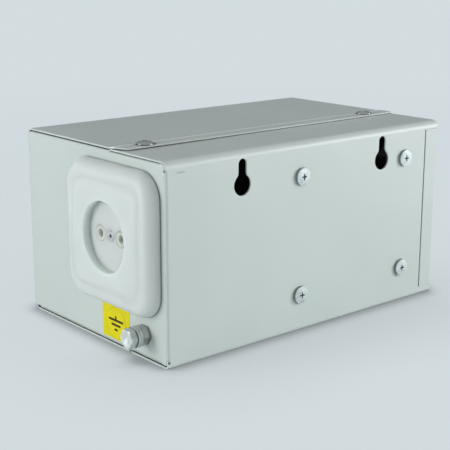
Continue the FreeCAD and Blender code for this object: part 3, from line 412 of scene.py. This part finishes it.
films = {
    "yellowFilm": {"colour": (0.74, 0.655, 0.004), "rough": 0.6, "gloss": 0.2},
    "signInk": {"colour": (0.050, 0.036, 0.010), "rough": 0.6, "gloss": 0.2},
    "ringInk": {"colour": (0.56, 0.50, 0.012), "rough": 0.6, "gloss": 0.2},
}
filmTones = {"tones": (0.93, 1.05), "spread": (-0.05, 0.06), "depth": 0.00001}


def makeFilm(name, values):
    material, tree, shader, place = newMaterial(name, values["rough"])
    shader.inputs["Specular IOR Level"].default_value = values["gloss"]
    grain = useGroup(tree, "mouldGrain", {"Vector": place, "Scale": 600.0})
    cloud = remap(tree, noise(tree, place, 160.0, 3.0), 0.3, 0.7)
    colour = mixColour(tree, cloud, *[shade(values["colour"], tone) for tone in filmTones["tones"]])
    tree.links.new(colour, shader.inputs["Base Color"])
    spreadRoughness(tree, shader, grain["Height"], (0.3, 0.7), values["rough"], filmTones["spread"])
    raiseSurface(tree, shader, grain["Height"], filmTones["depth"])
    return material


finishes = {"powderCoat": makePowderCoat(powderCoat), "coreSteel": makeCoreSteel(coreSteel),
            "enamelWire": makeEnamelWire(enamelWire), "amberTape": makeAmberTape(amberTape)}
for maker, family in ((makeFilm, films), (makeMoulding, mouldings), (makeMetal, metals)):
    for name, values in family.items():
        finishes[name] = maker(name, values)
print("finishes:", len(finishes))

# Which finish each CAD node wears
wears = {
    "powderCoat": ["rear_chassis", "end_panel", "seam_strap", "front_cover"],
    "brightZinc": ["socket_centre_screw"],
    "polishedZinc": ["cover_screws"],
    "agedZinc": ["earth_bolt", "earth_washers"],
    "whiteZinc": ["transformer_screws"],
    "dullZinc": ["transformer_spacers", "transformer_washers", "transformer_nuts", "rail_screws", "rail_nuts",
                 "breaker_clamp_screws", "socket_fixing_screws", "socket_fixing_nuts", "earth_nut",
                 "earth_inner_washer", "earth_inner_nut"],
    "galvanisedSheet": ["breaker_bracket", "mounting_rail", "socket_support"],
    "turnedBrass": ["terminal_screws"],
    "nickelPlate": ["socket_contacts"],
    "coreSteel": ["core_e_stack", "core_i_stack"],
    "enamelWire": ["primary_winding", "secondary_winding"],
    "amberTape": ["winding_wrap"],
    "whiteMoulding": ["socket_plate"],
    "creamMoulding": ["socket_base"],
    "breakerMoulding": ["supply_breaker", "load_breaker"],
    "leverMoulding": ["supply_lever", "load_lever"],
    "terminalMoulding": ["primary_terminals", "secondary_terminals"],
    "bobbinNylon": ["coil_bobbin"],
    "softRubber": ["cable_grommet"],
    "brownInsulation": ["primary_wire", "secondary_wire", "socket_feed_wire"],
    "blueInsulation": ["socket_return_wire"],
    "yellowFilm": ["earth_label"],
}
for finish, names in wears.items():
    for name in names:
        piece = nodes[name]
        piece.data.materials.clear()
        piece.data.materials.append(finishes[finish])
print("dressed nodes:", sum(len(names) for names in wears.values()), "of", len(nodes))


# Earth sign printed on the label: a stem and three bars in a fine ring

earthSign = {"thick": 0.00004, "line": 0.0014, "stem": 0.0028, "bars": (0.0142, 0.0090, 0.0034),
             "step": 0.0028, "top": 0.0070, "ring": 0.0094, "ringLine": 0.0003, "ringDrop": 0.0016}


def addLoop(mesh, plane, thick, corners, inner=None):
    levels = (plane + thick, plane)
    rims = [[mesh.verts.new((x, y, z)) for y, z in corners] for x in levels]
    if inner is None:
        mesh.faces.new(rims[0])
        mesh.faces.new(list(reversed(rims[1])))
        pairs = [(rims[0], rims[1])]
    else:
        bores = [[mesh.verts.new((x, y, z)) for y, z in inner] for x in levels]
        pairs = [(rims[0], rims[1]), (rims[1], bores[1]), (bores[1], bores[0]), (bores[0], rims[0])]
    for first, second in pairs:
        for i in range(len(corners)):
            following = (i + 1) % len(corners)
            mesh.faces.new((first[i], second[i], second[following], first[following]))


def roundedBar(middle, width, height, count=16):
    across, up = width / 2, height / 2
    radius = min(across, up)
    corners = []
    for turn in range(count):
        angle = 2 * math.pi * (turn + 0.5) / count
        right, above = math.cos(angle), math.sin(angle)
        corners.append((middle[0] + math.copysign(across - radius, right) + radius * right,
                        middle[1] + math.copysign(up - radius, above) + radius * above))
    return corners


def circle(middle, radius, count=96):
    turns = [2 * math.pi * i / count for i in range(count)]
    return [(middle[0] + radius * math.cos(turn), middle[1] + radius * math.sin(turn)) for turn in turns]


def addMesh(name, mesh, finish, body):
    data = bpy.data.meshes.new(name)
    mesh.to_mesh(data)
    mesh.free()
    piece = bpy.data.objects.new(name, data)
    scene.collection.objects.link(piece)
    data.materials.append(finishes[finish])
    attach(piece, body)


def makeEarthSign(values):
    low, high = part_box("earth_label")
    middle = (low.y + high.y) / 2
    top = high.z - values["top"]
    foot = top - values["stem"]
    mesh = bmesh.new()
    stem = roundedBar((middle, top - values["stem"] / 2), values["line"], values["stem"])
    addLoop(mesh, high.x, values["thick"], stem)
    for i, width in enumerate(values["bars"]):
        bar = roundedBar((middle, foot - i * values["step"]), width, values["line"])
        addLoop(mesh, high.x, values["thick"], bar)
    addMesh("earthSign", mesh, "signInk", "chassis")
    centre = (middle, foot - values["ringDrop"])
    outer, inner = circle(centre, values["ring"]), circle(centre, values["ring"] - values["ringLine"])
    mesh = bmesh.new()
    addLoop(mesh, high.x, values["thick"], outer, inner)
    addMesh("earthRing", mesh, "ringInk", "chassis")


makeEarthSign(earthSign)
print("earth sign printed")


# Bead of paint that half fills the floor joint under each end wall

paintBead = {"recess": 0.0012, "thick": 0.0010, "rise": 0.00142, "height": 0.0006, "length": 0.128}


def makePaintBead(name, values, plane):
    mesh = bmesh.new()
    strip = roundedBar((0.0, values["rise"]), values["length"], values["height"])
    addLoop(mesh, plane, values["thick"], strip)
    addMesh(name, mesh, "powderCoat", "chassis")


makePaintBead("paintBead_socket", paintBead, caseHigh.x - paintBead["recess"] - paintBead["thick"])
makePaintBead("paintBead_far", paintBead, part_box("end_panel")[0].x + paintBead["recess"])
print("floor joints filled")


# Pale floor, soft lights and the camera of the photograph

floor = {"radius": 6.0, "colour": (0.82, 0.87, 0.89), "tones": (0.99, 1.01), "rough": 0.6, "gloss": 0.1,
         "shown": (0.655, 0.719, 0.748), "even": 0.86, "evenFrom": (0.3, 1.2)}
nearShade = {"reach": 0.012, "open": 0.92, "shut": 0.5, "tone": 0.32}
wideShade = {"reach": 0.09, "open": 1.0, "shut": 0.5, "tone": 0.78, "side": (0.01, 0.08), "least": 0.25}
lamps = {
    "leftPanel": {"spot": (1.35, -0.55, 0.45), "size": 0.9, "power": 11.7},
    "rightPanel": {"spot": (-1.10, 0.98, 0.36), "size": 0.8, "power": 14.1},
    "cameraFill": {"spot": (0.85, 0.98, 0.40), "size": 0.9, "power": 2.6},
}
lampAim = Vector((0.0, 0.0, 0.05))
sky = {"colour": (0.92, 0.98, 1.0), "span": (0.05, 0.85), "rim": 0.14, "top": 0.48}
photoView = {"eye": (0.4291, 0.4942, 0.21625), "azimuth": 139.732, "elevation": 14.391, "roll": 0.080,
             "lens": 86.07, "sensor": 36.0, "clip": 0.01}


def makeFloor(values):
    mesh = bmesh.new()
    bmesh.ops.create_circle(mesh, cap_ends=True, segments=96, radius=values["radius"])
    data = bpy.data.meshes.new("studioFloor")
    mesh.to_mesh(data)
    mesh.free()
    surface = bpy.data.objects.new("studioFloor", data)
    surface.location.z = cadBox[0].z
    scene.collection.objects.link(surface)
    material, tree, shader, place = newMaterial("paleFloor", values["rough"])
    cloud = remap(tree, noise(tree, place, 3.0), 0.3, 0.7)
    colour = mixColour(tree, cloud, *[shade(values["colour"], tone) for tone in values["tones"]])
    tree.links.new(colour, shader.inputs["Base Color"])
    shader.inputs["Specular IOR Level"].default_value = values["gloss"]
    # Painted shadow in the floor's glow: a thin dark line where the case stands, and a wide soft painted
    # shade on the side away from the left lamp
    across = addNode(tree, "SeparateXYZ", {"Vector": place}).outputs["Y"]
    side = remap(tree, across, *wideShade["side"], wideShade["least"], 1.0)
    wide = calc(tree, "MULTIPLY", findCrevice(tree, wideShade), side)
    shown = mixColour(tree, wide, shade(values["shown"], 1.0), shade(values["shown"], wideShade["tone"]))
    shown = mixColour(tree, findCrevice(tree, nearShade), shown, shade(values["shown"], nearShade["tone"]))
    glow = addNode(tree, "Emission", {"Color": shown})
    away = addNode(tree, "VectorMath", {0: place}, operation="LENGTH").outputs["Value"]
    even = remap(tree, away, *values["evenFrom"], values["even"], 1.0)
    seen = calc(tree, "MULTIPLY", addNode(tree, "LightPath").outputs["Is Camera Ray"], even)
    mixed = addNode(tree, "MixShader", {0: seen, 1: shader.outputs[0], 2: glow.outputs[0]})
    tree.links.new(mixed.outputs[0], tree.nodes["Material Output"].inputs["Surface"])
    data.materials.append(material)


def makeLamp(name, values):
    lamp = bpy.data.lights.new(name, "AREA")
    lamp.shape = "DISK"
    lamp.size = values["size"]
    lamp.energy = values["power"]
    holder = bpy.data.objects.new(name, lamp)
    holder.location = values["spot"]
    aim = lampAim - Vector(values["spot"])
    holder.rotation_euler = aim.to_track_quat("-Z", "Y").to_euler()
    scene.collection.objects.link(holder)


def makeWorld(values, background):
    world = bpy.data.worlds.new("studio")
    world.use_nodes = True
    tree = world.node_tree
    plain = tree.nodes["Background"]
    towards = addNode(tree, "TexCoord").outputs["Generated"]
    height = addNode(tree, "SeparateXYZ", {"Vector": towards}).outputs["Z"]
    strength = remap(tree, height, *values["span"], values["rim"], values["top"])
    tree.links.new(strength, plain.inputs["Strength"])
    plain.inputs["Color"].default_value = shade(values["colour"], 1.0)
    shown = addNode(tree, "Background", {"Color": shade(background, 1.0), "Strength": 1.0})
    seen = addNode(tree, "LightPath").outputs["Is Camera Ray"]
    mixed = addNode(tree, "MixShader", {0: seen, 1: plain.outputs[0], 2: shown.outputs[0]})
    tree.links.new(mixed.outputs[0], tree.nodes["World Output"].inputs["Surface"])
    scene.world = world


def makeCamera(values):
    data = bpy.data.cameras.new("photoCamera")
    data.lens = values["lens"]
    data.sensor_width = values["sensor"]
    data.clip_start = values["clip"]
    camera = bpy.data.objects.new("photoCamera", data)
    turn = Matrix.Rotation(math.radians(values["azimuth"]), 4, "Z")
    tilt = Matrix.Rotation(math.radians(90.0 - values["elevation"]), 4, "X")
    roll = Matrix.Rotation(math.radians(values["roll"]), 4, "Z")
    camera.matrix_world = Matrix.Translation(values["eye"]) @ turn @ tilt @ roll
    scene.collection.objects.link(camera)
    scene.camera = camera


makeFloor(floor)
for name, values in lamps.items():
    makeLamp(name, values)
makeWorld(sky, floor["shown"])
makeCamera(photoView)
print("studio ready")
